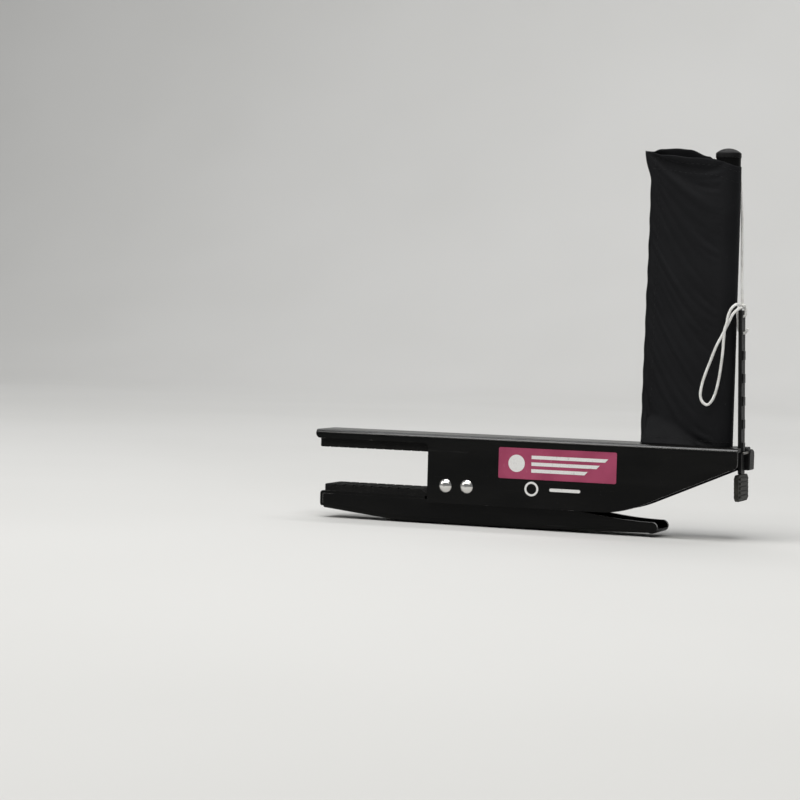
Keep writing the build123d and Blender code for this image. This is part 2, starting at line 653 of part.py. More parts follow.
with BuildPart() as arm_end_plug:
    # Body between the cheeks: the groove's floor, and the block behind the strap
    with BuildSketch(Plane.XY.offset(PLUG_FOOT_Z)):
        with BuildLine():
            Polyline(*plug_outline(PLUG_SIDE_Y), close=True)
        make_face()
    extrude(amount=WEB_UNDER - PLUG_FOOT_Z)
    top_side_edges = arm_end_plug.edges().filter_by(Axis.X).group_by(Axis.Z)[-1]
    fillet(top_side_edges.filter_by(lambda e: abs(e.center().Y) > PLUG_SIDE_Y - 0.01), ARM_BEND - ARM_SHEET)
    # Boss that fills the notch flush with the web
    with BuildSketch(Plane.XY.offset(WEB_UNDER)):
        with BuildLine():
            Polyline(*plug_outline(BOSS_SIDE_Y), close=True)
        make_face()
    extrude(amount=ARM_SHEET)
    # Head over the rear half of the tip
    with BuildSketch(Plane.YZ.offset(ARM_TIP_X)) as head_outline:
        with Locations((GROOVE_SIDE_Y, PLUG_FOOT_Z)):
            Rectangle(ARM_WIDTH / 2 - GROOVE_SIDE_Y, PLUG_HEAD_TOP - PLUG_FOOT_Z, align=Align.MIN)
        fillet(head_outline.vertices().group_by(Axis.Y)[-1], PLUG_HEAD_CORNER)
    extrude(amount=PLUG_OUTER_X - ARM_TIP_X)
    chamfer(arm_end_plug.faces().sort_by(Axis.X)[-1].edges(), PLUG_HEAD_EDGE)
    # Seat of the catch pin
    with BuildSketch(Plane.XZ):
        with Locations((PIN_X, PIN_Z)):
            Circle(PIN_RADIUS)
    extrude(amount=-PIN_END_Y, mode=Mode.SUBTRACT)

with BuildPart() as strap_catch_pin:
    # It crosses in front of the strap; its near end is free and rounded
    with BuildSketch(Plane.XZ.offset(-PIN_END_Y)):
        with Locations((PIN_X, PIN_Z)):
            Circle(PIN_RADIUS)
    extrude(amount=PIN_END_Y - PIN_START_Y)
    fillet(strap_catch_pin.edges().sort_by(Axis.Y)[0], PIN_END_EDGE)

# ---------------------------------------------------------------- printed label and mark

FRONT_CHEEK = Plane.XZ.offset(ARM_WIDTH / 2)

with BuildPart() as arm_label:
    with BuildSketch(FRONT_CHEEK):
        with Locations(((LABEL_LEFT + LABEL_RIGHT) / 2, (LABEL_TOP + LABEL_FOOT) / 2)):
            RectangleRounded(LABEL_RIGHT - LABEL_LEFT, LABEL_TOP - LABEL_FOOT, LABEL_CORNER)
    extrude(amount=PRINT_THICKNESS)

with BuildPart() as arm_mark:
    # A ring beside a bar
    with BuildSketch(FRONT_CHEEK):
        with Locations((MARK_LEFT + RING_RADIUS, MARK_FOOT + RING_RADIUS)):
            Circle(RING_RADIUS)
            Circle(RING_RADIUS - RING_WIDTH, mode=Mode.SUBTRACT)
        with Locations((MARK_RIGHT, MARK_FOOT + RING_RADIUS)):
            SlotOverall(BAR_LENGTH, BAR_WIDTH, align=(Align.MAX, Align.CENTER))
    extrude(amount=PRINT_THICKNESS)

# ---------------------------------------------------------------- write one file per piece

PIECES = {
    "arm_bracket": arm_bracket,
    "upper_jaw_pad": upper_jaw_pad,
    "pivot_rivet": pivot_rivet,
    "stop_rivet": stop_rivet,
    "stop_spacer": stop_spacer,
    "pivot_tube": pivot_tube,
    "pivot_washers": pivot_washers,
    "torsion_spring": torsion_spring,
    "clamp_lever": clamp_lever,
    "lower_jaw_plate": lower_jaw_plate,
    "lower_jaw_pad": lower_jaw_pad,
    "net_post": net_post,
    "post_insert": post_insert,
    "post_washer": post_washer,
    "post_spring_washer": post_spring_washer,
    "post_screw": post_screw,
    "post_cap": post_cap,
    "arm_end_plug": arm_end_plug,
    "strap_catch_pin": strap_catch_pin,
    "arm_label": arm_label,
    "arm_mark": arm_mark,
    "tension_strap": tension_strap,
    "strap_pull_tab": strap_pull_tab,
    "tension_cord": tension_cord,
    "net_sleeve": net_sleeve,
}

os.makedirs("parts", exist_ok=True)
for node, piece in PIECES.items():
    piece.part.label = node
    export_step(piece.part, f"parts/{node}.step")
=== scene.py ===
import json
import math

import bmesh
import bpy
from mathutils import Matrix, Vector, noise


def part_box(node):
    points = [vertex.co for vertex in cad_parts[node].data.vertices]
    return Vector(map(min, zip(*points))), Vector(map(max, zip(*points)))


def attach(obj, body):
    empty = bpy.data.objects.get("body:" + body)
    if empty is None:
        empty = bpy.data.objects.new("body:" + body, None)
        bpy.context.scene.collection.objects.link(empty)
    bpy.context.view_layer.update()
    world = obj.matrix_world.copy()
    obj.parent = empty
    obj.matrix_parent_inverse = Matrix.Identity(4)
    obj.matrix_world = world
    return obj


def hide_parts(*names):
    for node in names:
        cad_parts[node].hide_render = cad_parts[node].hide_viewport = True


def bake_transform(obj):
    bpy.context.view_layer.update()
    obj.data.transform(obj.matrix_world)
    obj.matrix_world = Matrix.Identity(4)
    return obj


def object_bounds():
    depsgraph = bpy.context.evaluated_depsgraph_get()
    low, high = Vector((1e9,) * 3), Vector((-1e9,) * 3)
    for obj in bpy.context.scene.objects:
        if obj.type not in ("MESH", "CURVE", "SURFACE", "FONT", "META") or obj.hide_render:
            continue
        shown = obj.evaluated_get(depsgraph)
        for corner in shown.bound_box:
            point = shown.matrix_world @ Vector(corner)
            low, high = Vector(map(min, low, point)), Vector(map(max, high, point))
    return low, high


# Looks for the table tennis net clamp. Metres, in the CAD frame: X outward from the table's edge,
# Y across the arm, Z up from the playing surface.

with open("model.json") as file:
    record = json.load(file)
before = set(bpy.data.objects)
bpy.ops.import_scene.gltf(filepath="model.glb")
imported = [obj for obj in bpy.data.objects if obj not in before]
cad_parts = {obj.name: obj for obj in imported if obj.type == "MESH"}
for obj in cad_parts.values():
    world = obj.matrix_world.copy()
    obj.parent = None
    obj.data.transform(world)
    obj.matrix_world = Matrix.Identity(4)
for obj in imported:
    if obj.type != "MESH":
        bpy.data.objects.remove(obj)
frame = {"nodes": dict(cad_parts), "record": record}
cad_low, cad_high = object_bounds()

MM = 0.001


# ------------------------------------------------------------------ node helpers


class Shader:
    """A node material being built: makes nodes, links them and sets values."""

    def __init__(self, name):
        self.material = bpy.data.materials.new(name)
        self.material.use_nodes = True
        self.tree = self.material.node_tree
        self.surface = self.tree.nodes["Principled BSDF"]
        self.coords = self.tree.nodes.new("ShaderNodeTexCoord").outputs["Object"]

    def node(self, kind, inputs=None, **settings):
        """A new node. Inputs are values or the sockets that feed them."""
        made = self.tree.nodes.new(kind)
        for key, value in settings.items():
            setattr(made, key, value)
        for key, value in (inputs or {}).items():
            self.feed(made.inputs[key], value)
        return made

    def feed(self, socket, value):
        if isinstance(value, bpy.types.NodeSocket):
            self.tree.links.new(value, socket)
        else:
            socket.default_value = value

    def noise(self, scale, detail=3.0, stretch=None):
        """Noise from 0 to 1; stretch is a factor on the scale along each axis."""
        source = self.coords
        if stretch:
            source = self.node("ShaderNodeMapping", {"Vector": source, "Scale": stretch}).outputs[0]
        inputs = {"Vector": source, "Scale": scale, "Detail": detail, "Roughness": 0.55}
        return self.node("ShaderNodeTexNoise", inputs).outputs["Fac"]

    def ramp(self, value, low, high, start=0.0, end=1.0):
        """Maps value from low..high to start..end, clamped and eased."""
        inputs = {"Value": value, "From Min": low, "From Max": high, "To Min": start, "To Max": end}
        return self.node("ShaderNodeMapRange", inputs, interpolation_type="SMOOTHSTEP").outputs[0]

    def math(self, operation, a, b=0.0):
        return self.node("ShaderNodeMath", {0: a, 1: b}, operation=operation).outputs[0]

    def mix(self, factor, a, b):
        """Colour mix from a to b."""
        made = self.node("ShaderNodeMix", data_type="RGBA")
        self.feed(made.inputs[0], factor)
        self.feed(made.inputs[6], a)
        self.feed(made.inputs[7], b)
        return made.outputs[2]

    def edges(self, radius, low, high):
        """About 1 on outer and inner edges sharper than radius, 0 on flats."""
        soft = self.node("ShaderNodeBevel", {"Radius": radius}, samples=4).outputs[0]
        flat = self.node("ShaderNodeNewGeometry").outputs["Normal"]
        match = self.node("ShaderNodeVectorMath", {0: soft, 1: flat}, operation="DOT_PRODUCT")
        return self.ramp(self.math("SUBTRACT", 1.0, match.outputs["Value"]), low, high)

    def bump(self, height, distance, edge=0.0):
        """Bump from a height; edge rounds the look of sharp corners to that radius."""
        inputs = {"Height": height, "Distance": distance, "Strength": 1.0}
        if edge:
            inputs["Normal"] = self.node("ShaderNodeBevel", {"Radius": edge}, samples=6).outputs[0]
        return self.node("ShaderNodeBump", inputs).outputs[0]

    def finish(self, **inputs):
        """Feeds the surface's inputs, with spaces written as underscores."""
        for key, value in inputs.items():
            self.feed(self.surface.inputs[key.replace("_", " ")], value)
        return self.material


def grey(value, tint=(1.0, 1.0, 1.0)):
    return (value * tint[0], value * tint[1], value * tint[2], 1.0)


# ------------------------------------------------------------------ materials
#
# Noise scales are in features per metre, colours are in linear light and bump heights are in metres.


def powder_coat():
    """Satin black powder coat: orange peel, dust, handling smears, rubbed to steel on sharp edges."""
    s = Shader("powder_coat")
    peel = s.noise(1500, detail=2.0)
    grain = s.noise(5200, detail=1.0)
    smears = s.noise(55, detail=4.0, stretch=(0.35, 1.0, 1.6))
    scratches = s.noise(260, detail=2.0, stretch=(0.08, 1.0, 2.2))
    rubbed = s.ramp(s.noise(140, detail=4.0), 0.57, 0.7, 0.0, 0.6)
    worn = s.math("MULTIPLY", s.edges(0.5 * MM, 0.08, 0.35), rubbed)
    scuffed = s.ramp(scratches, 0.69, 0.76)
    deep, pale = grey(0.003, (0.96, 1.0, 1.0)), grey(0.0055, (1.0, 1.0, 0.97))
    base = s.mix(s.ramp(smears, 0.35, 0.7), deep, pale)
    base = s.mix(s.math("MULTIPLY", scuffed, 0.3), base, grey(0.035))
    specks = s.ramp(s.noise(2600, detail=1.0), 0.7, 0.78)
    dust = s.math("MULTIPLY", specks, s.ramp(s.noise(70), 0.45, 0.7, 0.0, 0.5))
    base = s.mix(dust, base, grey(0.1, (1.0, 0.97, 0.9)))
    base = s.mix(worn, base, grey(0.42, (1.0, 0.99, 0.96)))
    rough = s.ramp(smears, 0.3, 0.75, 0.3, 0.44)
    rough = s.math("ADD", rough, s.math("MULTIPLY", dust, 0.3))
    height = s.math("ADD", s.math("MULTIPLY", peel, 0.8), s.math("MULTIPLY", grain, 0.25))
    height = s.math("SUBTRACT", height, s.math("MULTIPLY", scuffed, 0.5))
    # Hands have polished the bends, less so the flat top
    normal = s.node("ShaderNodeNewGeometry").outputs["Normal"]
    facing_up = s.node("ShaderNodeSeparateXYZ", {0: normal}).outputs["Z"]
    flat_top = s.ramp(facing_up, 0.86, 0.98, 1.0, 0.3)
    polish = s.math("MULTIPLY", s.ramp(facing_up, 0.1, 0.4, 0.1, 1.0), flat_top)
    return s.finish(
        Base_Color=base,
        Roughness=rough,
        Metallic=worn,
        Specular_IOR_Level=0.05,
        Coat_Weight=polish,
        Coat_Roughness=0.14,
        Normal=s.bump(height, 0.03 * MM, edge=0.35 * MM),
    )


def rubber():
    """Moulded black rubber, matt, with bloom and grit pressed into its face."""
    s = Shader("rubber")
    bloom = s.ramp(s.noise(120, detail=4.0), 0.4, 0.7)
    grit = s.ramp(s.noise(3800, detail=1.0), 0.68, 0.76)
    base = s.mix(bloom, grey(0.005), grey(0.011, (1.0, 0.98, 0.95)))
    base = s.mix(s.math("MULTIPLY", grit, 0.5), base, grey(0.12, (1.0, 0.95, 0.85)))
    height = s.math("ADD", s.noise(2400, detail=3.0), s.math("MULTIPLY", grit, 0.6))
    return s.finish(
        Base_Color=base,
        Roughness=s.ramp(bloom, 0.0, 1.0, 0.72, 0.9),
        Specular_IOR_Level=0.12,
        Normal=s.bump(height, 0.05 * MM, edge=0.25 * MM),
    )


def bright_nickel():
    """Bright plated rivet: fine handling scratches and patches of grime."""
    s = Shader("nickel")
    scratches = s.noise(900, detail=3.0, stretch=(1.0, 1.0, 0.2))
    grime = s.ramp(s.noise(1600, detail=3.0), 0.6, 0.75)
    plate, dirt = grey(0.74, (1.0, 0.985, 0.95)), grey(0.25, (1.0, 0.95, 0.88))
    base = s.mix(s.math("MULTIPLY", grime, 0.3), plate, dirt)
    rough = s.math("ADD", s.ramp(scratches, 0.3, 0.7, 0.16, 0.26), s.math("MULTIPLY", grime, 0.12))
    fine_relief = s.bump(scratches, 0.012 * MM)
    return s.finish(Base_Color=base, Metallic=1.0, Roughness=rough, Normal=fine_relief)


def zinc_plate():
    """Zinc plated steel with a mottled bluish passivation."""
    s = Shader("zinc_steel")
    mottle = s.noise(420, detail=4.0)
    bright, dull = grey(0.56, (0.97, 1.0, 1.05)), grey(0.47, (1.05, 1.0, 0.9))
    tint = s.mix(s.ramp(mottle, 0.35, 0.65), bright, dull)
    grain = s.noise(1800, detail=2.0, stretch=(1.0, 1.0, 6.0))
    return s.finish(
        Base_Color=tint,
        Metallic=1.0,
        Roughness=s.ramp(mottle, 0.3, 0.7, 0.3, 0.46),
        Normal=s.bump(grain, 0.015 * MM),
    )


def spring_wire():
    """Oil-blackened spring wire with a few rust freckles."""
    s = Shader("spring_steel")
    oil = s.noise(300, detail=3.0)
    rust = s.ramp(s.noise(1400, detail=3.0), 0.66, 0.74)
    base = s.mix(s.ramp(oil, 0.35, 0.65), grey(0.1, (1.0, 1.0, 1.03)), grey(0.2, (1.05, 1.0, 0.92)))
    base = s.mix(s.math("MULTIPLY", rust, 0.5), base, (0.16, 0.06, 0.025, 1.0))
    return s.finish(
        Base_Color=base,
        Metallic=s.ramp(rust, 0.0, 1.0, 1.0, 0.3),
        Roughness=s.ramp(oil, 0.3, 0.7, 0.28, 0.45),
    )


def moulded_plastic(name, dark, light, rough=(0.38, 0.55)):
    """Moulded plastic with a spark-eroded texture and pale scuffs on the edges."""
    s = Shader(name)
    texture = s.noise(2200, detail=2.0)
    cloud = s.noise(160, detail=3.0)
    knocks = s.ramp(s.noise(900, detail=2.0), 0.5, 0.7, 0.03, 0.4)
    scuff = s.math("MULTIPLY", s.edges(0.35 * MM, 0.05, 0.3), knocks)
    base = s.mix(s.ramp(cloud, 0.35, 0.65), dark, light)
    pale = tuple(min(1.0, 2.6 * c + 0.02) for c in light[:3]) + (1.0,)
    base = s.mix(scuff, base, pale)
    return s.finish(
        Base_Color=base,
        Roughness=s.ramp(texture, 0.3, 0.7, rough[0], rough[1]),
        Specular_IOR_Level=0.16,
        Normal=s.bump(texture, 0.03 * MM, edge=0.3 * MM),
    )


def label_print():
    """Crimson screen print: fine ink grain and rubbed spots."""
    s = Shader("label_print")
    ink = s.noise(5200, detail=1.0)
    cloud = s.noise(90, detail=3.0)
    rub = s.math("MULTIPLY", s.ramp(s.noise(420, detail=4.0), 0.64, 0.72), 0.35)
    base = s.mix(s.ramp(cloud, 0.3, 0.7), (0.31, 0.036, 0.095, 1.0), (0.37, 0.05, 0.12, 1.0))
    base = s.mix(s.ramp(ink, 0.55, 0.75, 0.0, 0.2), base, (0.22, 0.02, 0.06, 1.0))
    base = s.mix(rub, base, (0.46, 0.16, 0.22, 1.0))
    rough = s.ramp(cloud, 0.3, 0.7, 0.36, 0.5)
    return s.finish(Base_Color=base, Roughness=rough, Normal=s.bump(ink, 0.01 * MM))


def mark_print():
    """White screen print, slightly yellowed and thin in places."""
    s = Shader("mark_print")
    ink = s.noise(3000, detail=2.0)
    thin = s.ramp(s.noise(500, detail=3.0), 0.6, 0.72, 0.0, 0.35)
    base = s.mix(s.ramp(ink, 0.3, 0.7), grey(0.72, (1.0, 0.99, 0.97)), grey(0.8, (1.0, 1.0, 0.98)))
    base = s.mix(thin, base, grey(0.35))
    return s.finish(Base_Color=base, Roughness=0.5, Normal=s.bump(ink, 0.01 * MM))


def woven_nylon():
    """Black woven nylon: a plain weave of fine yarns, bluish sheen, lint and faded patches."""
    s = Shader("black_fabric")
    split = s.node("ShaderNodeSeparateXYZ", {0: s.coords})
    warp_at = s.math("ADD", split.outputs["X"], split.outputs["Y"])
    yarns_per_metre = 2600.0
    turn = math.pi * yarns_per_metre
    warp = s.math("SINE", s.math("MULTIPLY", warp_at, turn))
    weft = s.math("SINE", s.math("MULTIPLY", split.outputs["Z"], turn))
    weave = s.math("MULTIPLY", warp, weft)
    fade = s.noise(38, detail=4.0)
    lint = s.ramp(s.noise(1600, detail=2.0, stretch=(1.0, 1.0, 0.3)), 0.74, 0.8)
    deep, faded = grey(0.004, (0.92, 0.96, 1.2)), grey(0.0075, (0.94, 0.97, 1.12))
    base = s.mix(s.ramp(fade, 0.35, 0.7), deep, faded)
    base = s.mix(s.ramp(weave, -0.2, 1.0, 0.0, 0.35), base, grey(0.011, (0.93, 0.97, 1.12)))
    base = s.mix(s.math("MULTIPLY", lint, 0.2), base, grey(0.14))
    slub = s.noise(700, detail=3.0, stretch=(1.0, 1.0, 4.0))
    height = s.math("ADD", s.math("MULTIPLY", weave, 0.5), slub)
    return s.finish(
        Base_Color=base,
        Roughness=s.ramp(fade, 0.3, 0.7, 0.62, 0.76),
        Specular_IOR_Level=0.14,
        Sheen_Weight=0.03,
        Sheen_Roughness=0.4,
        Sheen_Tint=grey(0.7, (0.85, 0.92, 1.0)),
        Normal=s.bump(height, 0.05 * MM),
    )


def cord_fibre():
    """Off-white polyester yarn: fine fibres and a little handling dirt."""
    s = Shader("white_cord")
    fibre = s.noise(4200, detail=2.0, stretch=(1.0, 1.0, 0.25))
    dirt = s.ramp(s.noise(160, detail=4.0), 0.45, 0.75)
    base = s.mix(dirt, grey(0.9, (1.0, 0.99, 0.96)), grey(0.68, (1.0, 0.98, 0.93)))
    base = s.mix(s.ramp(fibre, 0.55, 0.7, 0.0, 0.3), base, grey(0.62, (1.0, 0.98, 0.95)))
    return s.finish(
        Base_Color=base,
        Roughness=0.8,
        Sheen_Weight=0.25,
        Subsurface_Weight=0.08,
        Normal=s.bump(fibre, 0.03 * MM),
    )


def thread_fibre():
    """Black sewing thread, finely twisted."""
    s = Shader("thread")
    twist = s.noise(3800, detail=1.0)
    base = s.mix(s.ramp(twist, 0.35, 0.65), grey(0.006), grey(0.013, (0.95, 0.98, 1.1)))
    return s.finish(
        Base_Color=base, Roughness=0.6, Specular_IOR_Level=0.2, Normal=s.bump(twist, 0.02 * MM)
    )


def backdrop_paint():
    """Pale matt paper with a faint unevenness."""
    s = Shader("backdrop")
    cloud = s.noise(1.4, detail=3.0)
    soiled, clean = grey(0.56, (1.0, 0.995, 0.97)), grey(0.6, (1.0, 0.995, 0.975))
    base = s.mix(s.ramp(cloud, 0.3, 0.7), soiled, clean)
    return s.finish(Base_Color=base, Roughness=0.85, Normal=s.bump(s.noise(400), 0.02 * MM))


BLACK_MOULDING = (grey(0.004), grey(0.008, (1.0, 1.0, 1.03)))
# The pull tab is the strap's black plastic, painted a lighter olive grey: painted light from the side
# on its face.
TAB_PAINTED_LIGHT_MOULDING = (grey(0.018, (1.0, 1.0, 0.84)), grey(0.034, (1.0, 1.0, 0.8)))

MATERIALS = {
    "powder_coat": powder_coat(),
    "rubber": rubber(),
    "nickel": bright_nickel(),
    "zinc_steel": zinc_plate(),
    "spring_steel": spring_wire(),
    "black_plastic": moulded_plastic("black_plastic", *BLACK_MOULDING),
    "tab_plastic": moulded_plastic("tab_plastic", *TAB_PAINTED_LIGHT_MOULDING, rough=(0.42, 0.6)),
    "label_print": label_print(),
    "mark_print": mark_print(),
    "black_fabric": woven_nylon(),
    "white_cord": cord_fibre(),
    "thread": thread_fibre(),
    "backdrop": backdrop_paint(),
}


def dress_frame():
    """Gives each CAD node the material of its slot."""
    for subpart in frame["record"]["subparts"]:
        node = frame["nodes"][subpart["node"]]
        node.data.materials.clear()
        node.data.materials.append(MATERIALS[subpart["material_slot"]])


# ------------------------------------------------------------------ mesh helpers


def add_mesh(name, vertices, faces, material, smooth=True):
    """A new mesh object in the scene."""
    mesh = bpy.data.meshes.new(name)
    mesh.from_pydata(vertices, [], faces)
    mesh.materials.append(MATERIALS[material])
    mesh.polygons.foreach_set("use_smooth", [smooth] * len(mesh.polygons))
    mesh.update()
    made = bpy.data.objects.new(name, mesh)
    bpy.context.scene.collection.objects.link(made)
    return made


def apply_modifiers(obj):
    """Bakes the object's modifiers into its mesh."""
    graph = bpy.context.evaluated_depsgraph_get()
    mesh = bpy.data.meshes.new_from_object(obj.evaluated_get(graph), depsgraph=graph)
    obj.modifiers.clear()
    obj.data = mesh


def catmull(points, steps):
    """A smooth curve through the points, with steps points for each span."""
    padded = [points[0] * 2 - points[1], *points, points[-1] * 2 - points[-2]]
    curve = []
    for a, b, c, d in zip(padded, padded[1:], padded[2:], padded[3:]):
        for i in range(steps):
            t = i / steps
            bend, twist = 2 * a - 5 * b + 4 * c - d, 3 * b - a - 3 * c + d
            curve.append(0.5 * (2 * b + (c - a) * t + bend * t**2 + twist * t**3))
    curve.append(points[-1])
    return curve


def evenly(curve, spacing):
    """The curve again, as points at an even spacing."""
    lengths = [0.0]
    for a, b in zip(curve, curve[1:]):
        lengths.append(lengths[-1] + (b - a).length)
    count = max(2, round(lengths[-1] / spacing))
    result, at = [], 0
    for i in range(count + 1):
        target = lengths[-1] * i / count
        while at < len(curve) - 2 and lengths[at + 1] < target:
            at += 1
        span = max(lengths[at + 1] - lengths[at], 1e-9)
        result.append(curve[at].lerp(curve[at + 1], (target - lengths[at]) / span))
    return result


def frames_along(curve):
    """(side, up) at each point, carried along the curve without twisting."""
    side = None
    result = []
    for i in range(len(curve)):
        ahead = curve[min(i + 1, len(curve) - 1)] - curve[max(i - 1, 0)]
        ahead.normalize()
        if side is None:
            side = ahead.cross(Vector((0.3, 1.0, 0.2))).normalized()
        side = (side - ahead * side.dot(ahead)).normalized()
        result.append((side, ahead.cross(side)))
    return result


def tube(curve, radius, sides, vertices, faces, taper=1.0):
    """Adds a closed tube along the curve; taper is the radius's factor at both ends."""
    start = len(vertices)
    last = len(curve) - 1
    for i, (point, (side, up)) in enumerate(zip(curve, frames_along(curve))):
        r = radius * (taper if i in (0, last) else 1.0)
        for k in range(sides):
            angle = 2 * math.pi * k / sides
            vertices.append(point + r * (math.cos(angle) * side + math.sin(angle) * up))
    for i in range(last):
        for k in range(sides):
            a, b = start + i * sides + k, start + i * sides + (k + 1) % sides
            faces.append((a, b, b + sides, a + sides))
    faces.append(tuple(start + k for k in reversed(range(sides))))
    faces.append(tuple(start + last * sides + k for k in range(sides)))


# ------------------------------------------------------------------ net sleeve

post_low, post_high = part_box("net_post")
POST_X = (post_low.x + post_high.x) / 2
POST_RADIUS = (post_high.x - post_low.x) / 2
SLEEVE_GAP = 0.3 * MM
PANEL_CROWN = 0.5 * MM
FABRIC_THICKNESS = 0.35 * MM
SLEEVE_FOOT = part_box("net_sleeve")[0].z / MM + 0.05
SLEEVE_AROUND = 168
SLEEVE_UP = 160
SECTION_STEP = 0.002
SEAM_WIDTH = 2.5

# Cloth simulation: it runs on a copy ten times as large, round a rod in the post's place
SIM_SCALE = 10.0
CLOTH_FRAMES = 22
CLOTH_REACH = 1.6 * MM
CLOTH_SLACK = -0.006
ROD_RADIUS = POST_RADIUS - 0.25 * MM
ROD_HEIGHT, ROD_MIDDLE_Z = 150.0 * MM, 80.0 * MM

# Sewing: a stitch spans a few steps along its seam, and two more lie under the fabric
THREAD_RADIUS = 0.13 * MM
SEAM_STEP = 0.35 * MM
STITCH_STEPS = 6
STITCH_GAP_STEPS = 2
STITCH_LIFT = 0.05 * MM
HEM_ROWS = (SLEEVE_UP - 3, SLEEVE_UP - 9, 4)
SEAM_COLUMN = 8
OVERLOCK_PITCH = 1.9 * MM
OVERLOCK_STEPS = 12
LOOP_INWARD, LOOP_ROUND = 0.45 * MM, 0.2975 * MM
LOOP_ACROSS, LOOP_ALONG = 0.6 * MM, 0.3 * MM


def sleeve_section(u, edge_x):
    """Point (x, y) on the pocket's section. u runs from 0 at the sewn edge, round the post, to 1."""
    radius = POST_RADIUS + SLEEVE_GAP
    edge = Vector((edge_x, 0.0))
    lean = math.asin(radius / (POST_X - edge_x))
    touch = Vector((POST_X - radius * math.sin(lean), -radius * math.cos(lean)))
    panel = (touch - edge).length
    arc = radius * (math.pi + 2 * lean)
    at = u * (2 * panel + arc)
    if at < panel:
        point = edge.lerp(touch, at / panel)
        point.y -= PANEL_CROWN * math.sin(math.pi * at / panel)
        return point
    if at > panel + arc:
        mirrored = sleeve_section(1.0 - u, edge_x)
        return Vector((mirrored.x, -mirrored.y))
    angle = -math.pi / 2 - lean + (at - panel) / radius
    return Vector((POST_X + radius * math.cos(angle), radius * math.sin(angle)))


def ease(t):
    """Smooth step, from 0 at t = 0 to 1 at t = 1."""
    t = min(1.0, max(0.0, t))
    return t * t * (3 - 2 * t)


def through(points, x):
    """Smooth curve through (x, value) points, level at each of them."""
    for (x0, a), (x1, b) in zip(points, points[1:]):
        if x <= x1:
            return a + (b - a) * ease((x - x0) / (x1 - x0))
    return points[-1][1]


# The sleeve's outline and relief are in millimetres. Each hem is (X, height) points along it.
EDGE_AT_FOOT, EDGE_AT_NECK, EDGE_FLARE = 106.3, 107.6, 3.3
NECK_HEIGHT, MOUTH_HEIGHT = 137.0, 152.2
FRONT_HEM = ((104.3, 152.2), (116.0, 151.6), (131.9, 150.1), (140.5, 149.4), (152.8, 145.8))
BACK_HEM = (
    (104.3, 152.2),
    (112.5, 154.8),
    (120.0, 155.3),
    (125.5, 154.9),
    (135.5, 151.6),
    (138.5, 149.6),
    (152.8, 145.8),
)

# Soft creases that start at the sewn edge: height, depth, half width, reach, slope
FRONT_CREASES = (
    (113.5, 0.95, 2.9, 15.0, -0.06),
    (104.5, -0.5, 3.4, 17.0, -0.03),
    (131.0, 0.55, 2.4, 8.0, 0.12),
    (124.0, -0.4, 2.2, 9.0, 0.0),
    (88.0, 0.4, 2.4, 8.0, 0.05),
    (67.5, 0.85, 3.0, 25.0, -0.04),
    (59.0, -0.5, 3.2, 22.0, -0.05),
    (41.0, 0.45, 2.4, 9.0, 0.1),
)
BACK_CREASES = (
    (120.0, 0.7, 3.0, 14.0, 0.05),
    (96.0, -0.5, 3.4, 20.0, 0.02),
    (74.0, 0.8, 3.0, 18.0, -0.08),
    (48.0, 0.6, 2.6, 12.0, 0.06),
    (30.0, -0.4, 3.0, 16.0, 0.0),
)

# Waves over a whole panel: height, and how fast they vary along X and Z
BROAD_WAVE = (0.55, 0.075, 0.05)
FINE_WAVE = (0.22, 0.2, 0.16)
FRONT_SEED, BACK_SEED = 1.7, 9.1

# The net's meshes tug at the sewn edge
NET_PITCH = 12.6
EDGE_WAVE = 0.13
PUCKER_DEPTH, PUCKER_REACH = 0.3, 3.5

# Hollow beside the post: X at a height, lean and half width. The fabric touches the post at
# CONTACT_X.
HOLLOW_X, HOLLOW_HEIGHT, HOLLOW_LEAN, HOLLOW_HALF_WIDTH = 139.0, 80.0, 0.02, 2.8
HOLLOW_DEPTH, HOLLOW_UNEVEN = 0.9, 0.5
CONTACT_X = 143.5

# Flare of the front's lower corner
FLARE_HEIGHT, FLARE_SLOPE, FLARE_REACH = 15.0, 0.42, 36.0
FLARE_FALL, FLARE_SOFTNESS = 1.6, 1.2

# How each side of the mouth gapes: depth, height where it starts and over which it grows, X where it
# ends and over which it fades
FRONT_GAPE = (0.9, 143.0, 8.0, 141.0, 10.0)
BACK_GAPE = (1.8, 140.0, 13.0, 139.0, 9.0)
GAPE_START_X, GAPE_GROWTH = 108.0, 8.0


def sleeve_edge(z):
    """X of the sewn edge at height z."""
    rise = ease((z - SLEEVE_FOOT) / (NECK_HEIGHT - SLEEVE_FOOT))
    edge = EDGE_AT_FOOT + (EDGE_AT_NECK - EDGE_AT_FOOT) * rise
    uneven = 1.4 * noise.noise(Vector((z * 0.11, 0.4, 5.0)))
    edge += EDGE_WAVE * (math.cos(2 * math.pi * z / NET_PITCH) + uneven)
    return edge - EDGE_FLARE * ease((z - NECK_HEIGHT) / (MOUTH_HEIGHT - NECK_HEIGHT))


def panel_wave(x, z, seed, wave):
    """Height of a wave over the panel at (x, z)."""
    height, along_x, along_z = wave
    return height * noise.noise(Vector((x * along_x, seed, z * along_z)))


def fabric_relief(x, z, creases, seed):
    """How far the fabric stands out from its flat panel at (x, z)."""
    from_edge = max(0.0, x - sleeve_edge(z))
    relief = panel_wave(x, z, seed, BROAD_WAVE) + panel_wave(x, z, seed + 7, FINE_WAVE)
    for height, depth, half, reach, slope in creases:
        off = (z - height - slope * from_edge) / half
        relief += depth * math.exp(-off * off) * math.exp(-((from_edge / reach) ** 2))
    relief += PUCKER_DEPTH * math.cos(2 * math.pi * z / NET_PITCH) * math.exp(-from_edge / PUCKER_REACH)
    hollow = (x - HOLLOW_X - HOLLOW_LEAN * (z - HOLLOW_HEIGHT)) / HOLLOW_HALF_WIDTH
    depth = HOLLOW_DEPTH + HOLLOW_UNEVEN * noise.noise(Vector((seed, 3.0, z * 0.04)))
    relief -= depth * math.exp(-hollow * hollow)
    return relief * ease((CONTACT_X - x) / 6.0)


